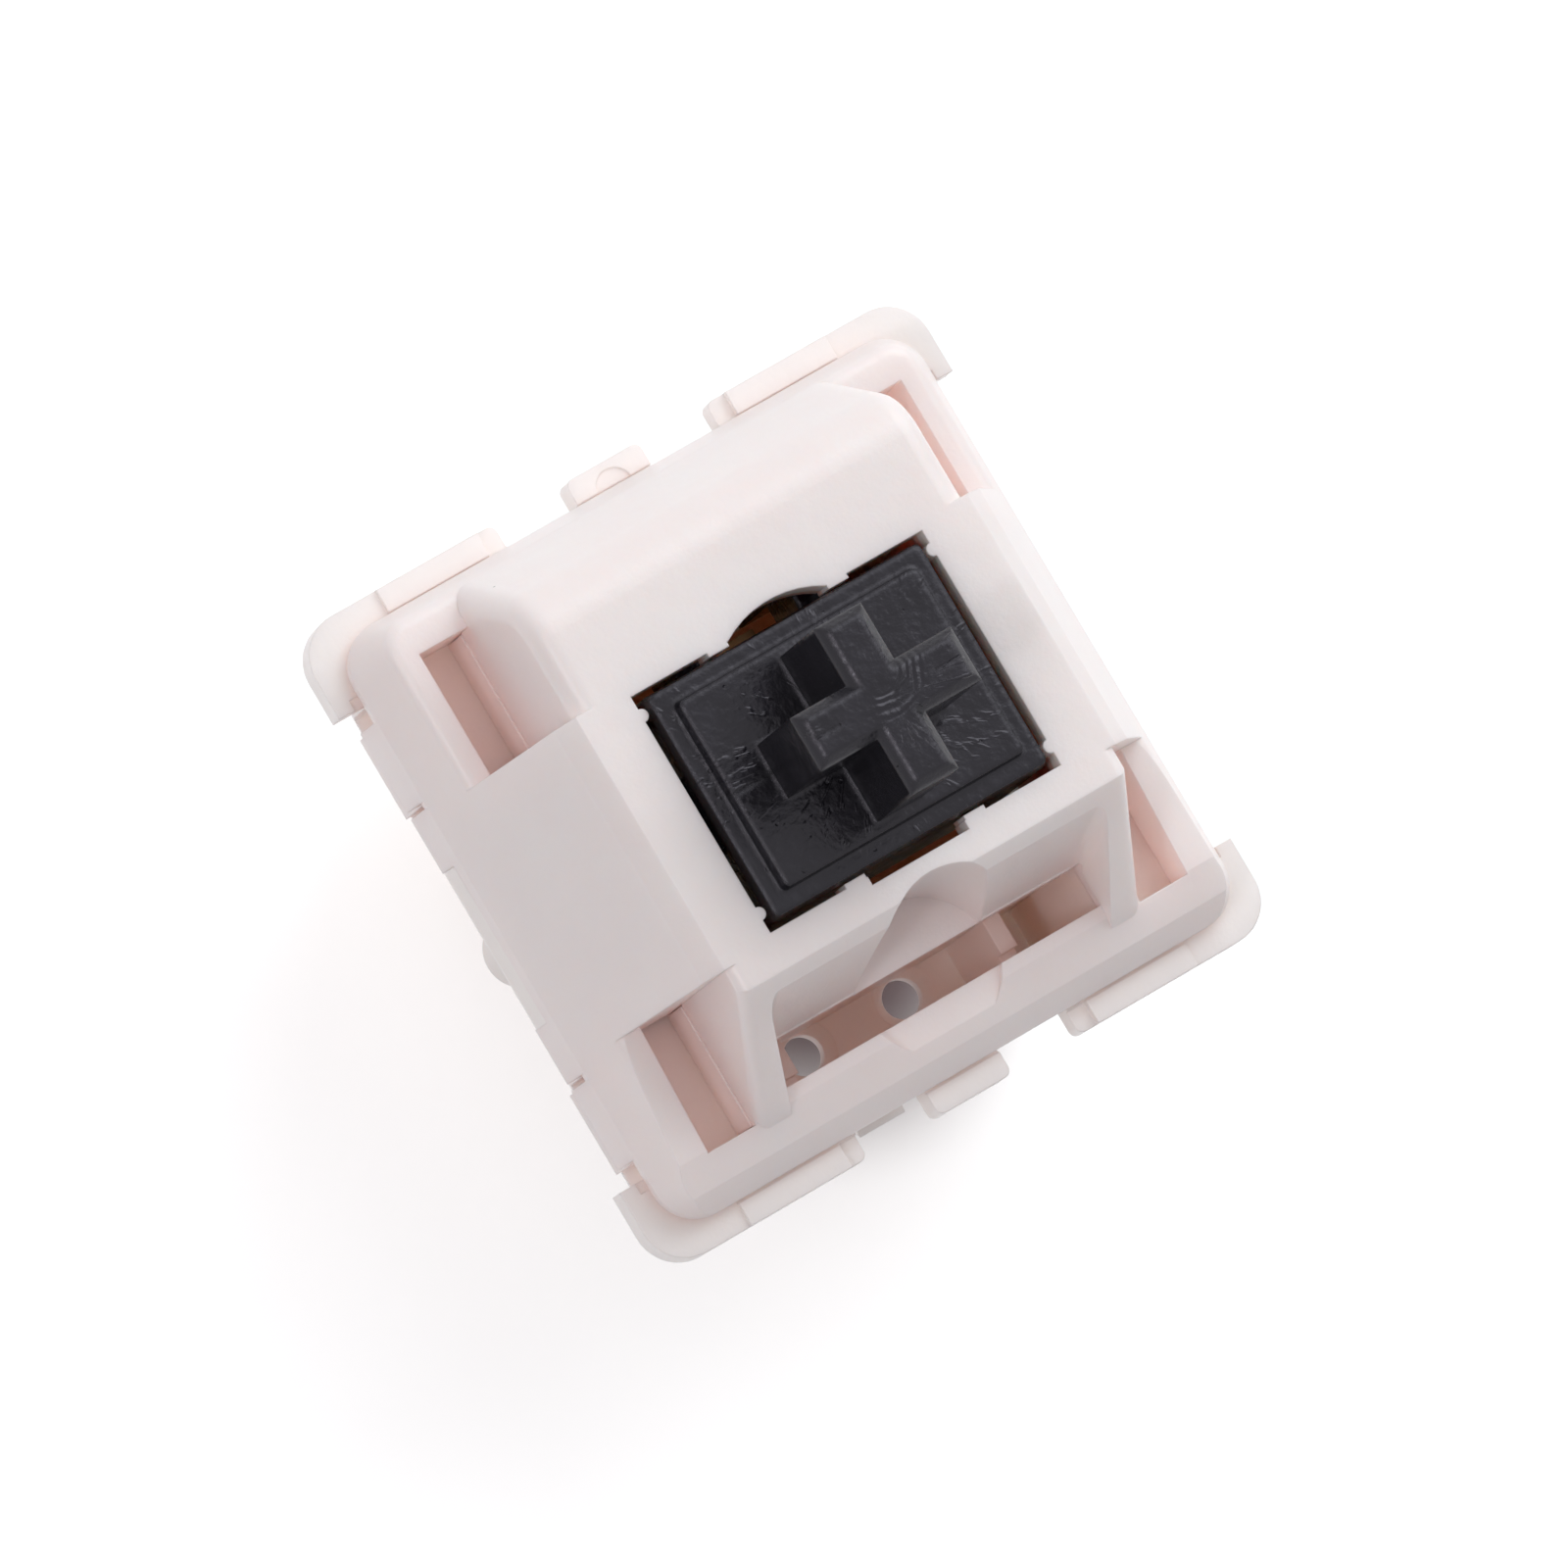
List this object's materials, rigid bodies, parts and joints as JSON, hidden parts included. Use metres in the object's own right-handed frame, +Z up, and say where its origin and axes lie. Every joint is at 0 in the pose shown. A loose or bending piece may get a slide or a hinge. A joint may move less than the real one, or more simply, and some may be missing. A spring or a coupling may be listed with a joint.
{
  "type": "mechanical keyboard switch",
  "caption": "Plate-mounted push switch for a keyboard, with a cross stem on a return spring, a windowed cover, a lamp recess and solder pins.",
  "frame": {"origin": "centre of the lower housing's underside, on the axis of the centre post, where the circuit board's top face lies", "axes": "+Z up along the stem, +X east, -Y towards the side with the lamp recess"},
  "size_m": [0.0156, 0.0156, 0.0185],
  "materials": {
    "base_plastic": "moulded cream plastic, a little translucent, satin",
    "cover_plastic": "moulded milky plastic, a little translucent, satin",
    "stem_plastic": "moulded black plastic with fine flow marks",
    "spring_steel": "drawn spring wire",
    "contact_metal": "stamped copper alloy strip",
    "point_metal": "bright gold-coloured contact metal"
  },
  "bodies": {
    "housing": {"lower_housing": "base_plastic", "upper_housing": "cover_plastic", "return_spring": "spring_steel", "fixed_contact": "contact_metal", "moving_contact": "contact_metal", "fixed_contact_point": "point_metal", "moving_contact_point": "point_metal"},
    "stem": {"stem": "stem_plastic"}
  },
  "joints": [
    {"name": "stem_press", "type": "slide", "parent": "housing", "child": "stem", "axis": [0, 0, -1], "range_m": [0, 0.004], "stiffness_N_per_m": 70, "springref_m": -0.005, "deforming": ["return_spring"]}
  ]
}
